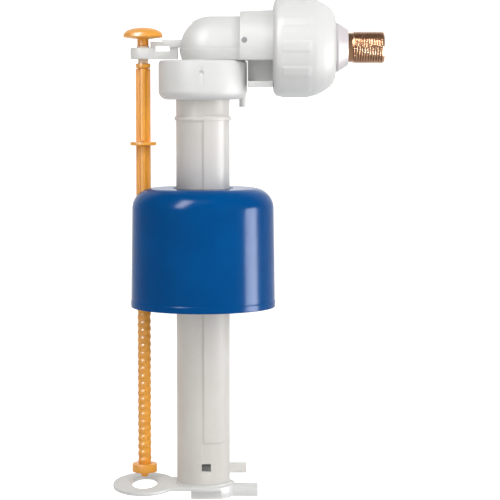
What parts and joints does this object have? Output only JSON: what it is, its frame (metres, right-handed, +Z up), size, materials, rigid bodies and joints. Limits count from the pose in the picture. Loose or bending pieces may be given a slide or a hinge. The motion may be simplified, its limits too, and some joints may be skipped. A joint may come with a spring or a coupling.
{
  "type": "toilet fill valve",
  "caption": "Side-entry float-operated fill valve with union nut, pilot lever, screw-adjustable float on a rod, and standpipe with base guide.",
  "frame": {"origin": "on the inlet axis, where the thread of the brass tail starts at the face of the conical seal", "axes": "+X along the inlet tail towards the supply, +Z up along the standpipe, the pilot lever swings about +Y"},
  "size_m": [0.1408, 0.0752, 0.2593],
  "materials": {
    "brass": "turned, machined thread",
    "seal_grey": "soft moulded",
    "white_plastic": "fine moulded",
    "pipe_plastic": "extruded satin",
    "grey_plastic": "moulded",
    "black_rubber": "matte",
    "steel": "drawn pin",
    "orange_plastic": "satin moulded",
    "bush_plastic": "natural moulded",
    "blue_plastic": "semi-gloss moulded"
  },
  "bodies": {
    "body": {"brass_tail": "brass", "wall_seal": "seal_grey", "inlet_nut": "white_plastic", "inlet_spigot": "white_plastic", "spigot_o_ring": "black_rubber", "inlet_strainer": "grey_plastic", "flow_limiter": "grey_plastic", "valve_body": "white_plastic", "hood": "white_plastic", "lever_pin": "steel", "servo_cylinder": "grey_plastic", "pilot_o_ring": "black_rubber", "metering_pin": "steel", "collar_nut": "white_plastic", "collar_seal": "black_rubber", "standpipe": "pipe_plastic", "silencer_tube": "grey_plastic", "outlet_diffuser": "grey_plastic", "base_guide": "white_plastic"},
    "lever": {"pilot_lever": "white_plastic", "pilot_pad": "black_rubber"},
    "piston": {"servo_piston": "grey_plastic", "piston_seal": "black_rubber", "seat_washer": "black_rubber"},
    "bush": {"rod_bush": "bush_plastic"},
    "rod": {"adjusting_rod": "orange_plastic", "rod_foot": "orange_plastic"},
    "float": {"float_shell": "blue_plastic", "float_base": "blue_plastic", "float_nut": "orange_plastic"}
  },
  "joints": [
    {"name": "float_travel", "type": "slide", "parent": "body", "child": "bush", "axis": [0, 0, 1], "range_m": [0, 0.012]},
    {"name": "lever_swing", "type": "hinge", "parent": "body", "child": "lever", "pos_m": [-0.0533, 0, 0.0034], "axis": [0, 1, 0], "range_deg": [0, 12.15]},
    {"name": "piston_travel", "type": "slide", "parent": "body", "child": "piston", "axis": [1, 0, 0], "range_m": [0, 0.00205]},
    {"name": "level_screw", "type": "hinge", "parent": "bush", "child": "rod", "pos_m": [-0.1056, 0, 0], "axis": [0, 0, 1], "range_deg": [-1450, 6940]},
    {"name": "level_set", "type": "slide", "parent": "bush", "child": "float", "axis": [0, 0, 1], "range_m": [-0.077, 0.016]}
  ],
  "couplings": [
    {"joint": "lever_swing", "follows": "float_travel", "rad_per_m": 17.599},
    {"joint": "piston_travel", "follows": "float_travel", "ratio": 0.16667},
    {"joint": "level_screw", "follows": "level_set", "rad_per_m": -1570.8}
  ]
}
